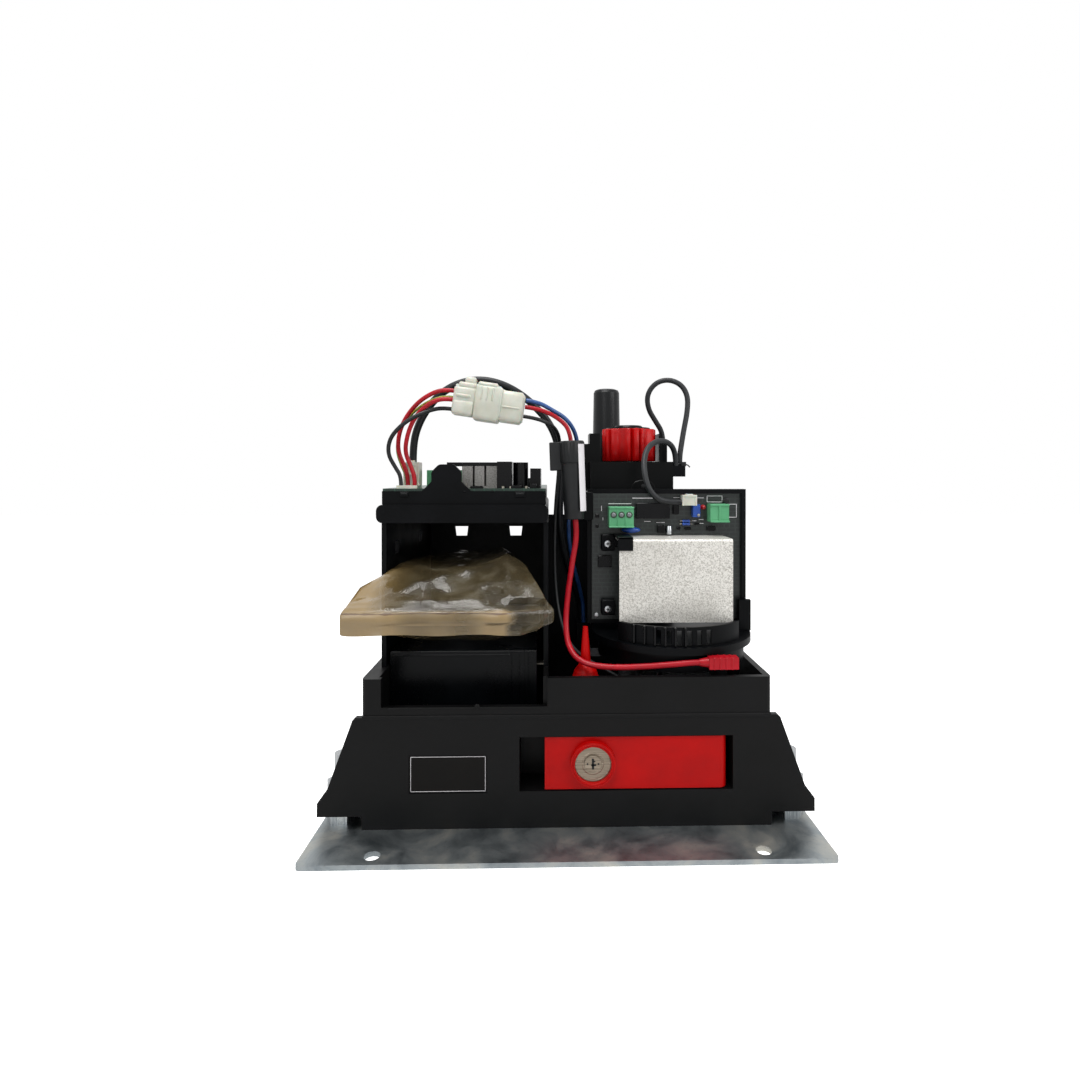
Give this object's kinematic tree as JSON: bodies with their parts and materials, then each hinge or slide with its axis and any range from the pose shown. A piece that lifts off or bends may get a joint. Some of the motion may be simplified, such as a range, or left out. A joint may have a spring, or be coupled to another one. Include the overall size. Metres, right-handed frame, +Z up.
{
  "type": "sliding gate motor",
  "caption": "Sliding gate motor with its cover off: zinc base plate, black chassis with release lever, battery, worm drive with rack pinion, and control and charger boards.",
  "frame": {"origin": "centre of the base plate's bottom face, which is the centre of the four floor bolt holes", "axes": "+X to the right seen from the lever side, +Y from the lever side towards the gate and its rack, +Z up"},
  "size_m": [0.3, 0.266, 0.2898],
  "materials": {
    "zinc_plate": "bright zinc plate",
    "black_moulding": "fine moulded texture",
    "black_gloss": "smooth moulded",
    "black_enamel": "satin black",
    "red_plastic": "semi-gloss",
    "lock_metal": "plated zinc casting",
    "gear_steel": "machined",
    "gear_bronze": "machined bronze",
    "cast_aluminium": "as cast",
    "sheet_aluminium": "brushed",
    "spring_steel": "plain",
    "magnet": "plain",
    "armature_steel": "laminated",
    "battery_plastic": "moulded",
    "battery_lid_plastic": "moulded",
    "film": "thin film",
    "board_green": "solder mask",
    "terminal_green": "moulded",
    "nylon_white": "moulded nylon",
    "wire_red": "PVC",
    "wire_black": "PVC",
    "wire_green": "PVC",
    "wire_blue": "PVC",
    "sheath_black": "PVC sheath",
    "sheath_grey": "PVC sheath",
    "brass": "tinned brass"
  },
  "bodies": {
    "base": {"ball_bearings": "gear_steel", "base_plate": "zinc_plate", "battery_case": "battery_plastic", "battery_lid": "battery_lid_plastic", "battery_terminals": "brass", "bay_frame": "black_moulding", "black_wire_left": "wire_black", "black_wire_right": "wire_black", "blue_wire": "wire_blue", "breather_cap": "red_plastic", "cable_fittings": "black_moulding", "charger_base": "black_moulding", "charger_board": "board_green", "charger_bracket": "black_moulding", "charger_heatsink": "sheet_aluminium", "chassis": "black_moulding", "controller_base": "black_moulding", "controller_board": "board_green", "controller_heatsink": "sheet_aluminium", "controller_relays": "black_gloss", "controller_tray": "black_moulding", "cover_post": "black_moulding", "encoder_cable_lower": "sheath_grey", "encoder_cable_upper": "sheath_grey", "film_pouch": "film", "foot_nuts": "zinc_plate", "foot_studs": "zinc_plate", "fuse_holder": "black_gloss", "gearbox_cover": "cast_aluminium", "gearbox_housing": "cast_aluminium", "green_wire": "wire_green", "harness_plug": "nylon_white", "harness_socket": "nylon_white", "lever_pin": "gear_steel", "motor_can": "black_enamel", "motor_housing": "black_enamel", "motor_magnets": "magnet", "plunger_spring": "spring_steel", "red_lead": "wire_red", "red_terminal_boot": "red_plastic", "red_wire_lower": "wire_red", "red_wire_right": "wire_red", "red_wire_upper": "wire_red", "screw_terminals": "terminal_green", "sheathed_cable": "sheath_black", "white_headers": "nylon_white"},
    "lever": {"release_lever": "red_plastic", "lock_barrel": "lock_metal"},
    "lock": {"lock_plug": "lock_metal", "lock_cam": "gear_steel"},
    "plunger": {"release_plunger": "gear_steel"},
    "output": {"worm_wheel": "gear_bronze", "output_shaft": "gear_steel", "drive_pinion": "gear_steel", "pinion_key": "gear_steel", "pinion_circlip": "spring_steel"},
    "rotor": {"worm_shaft": "gear_steel", "armature": "armature_steel", "encoder_drum": "red_plastic"}
  },
  "joints": [
    {"name": "release_lever_swing", "type": "hinge", "parent": "base", "child": "lever", "pos_m": [0.085, -0.075, 0.0413], "axis": [0, 0, 1], "range_deg": [0, 90]},
    {"name": "key_lock_turn", "type": "hinge", "parent": "lever", "child": "lock", "pos_m": [0.015, -0.075, 0.0413], "axis": [0, 1, 0], "range_deg": [0, 90]},
    {"name": "release_plunger_slide", "type": "slide", "parent": "base", "child": "plunger", "axis": [0, 1, 0], "range_m": [0, 0.004], "stiffness_N_per_m": 200, "springref_m": -0.004, "deforming": ["plunger_spring"]},
    {"name": "motor_rotor_spin", "type": "hinge", "parent": "base", "child": "rotor", "pos_m": [0.05, 0.03, 0.15], "axis": [0, 0, 1], "continuous": true},
    {"name": "output_shaft_spin", "type": "hinge", "parent": "base", "child": "output", "pos_m": [0.085, 0.03, 0.045], "axis": [0, 1, 0], "continuous": true}
  ],
  "couplings": [
    {"joint": "release_plunger_slide", "follows": "release_lever_swing", "m_per_rad": 0.002546},
    {"joint": "output_shaft_spin", "follows": "motor_rotor_spin", "ratio": -0.02381}
  ]
}
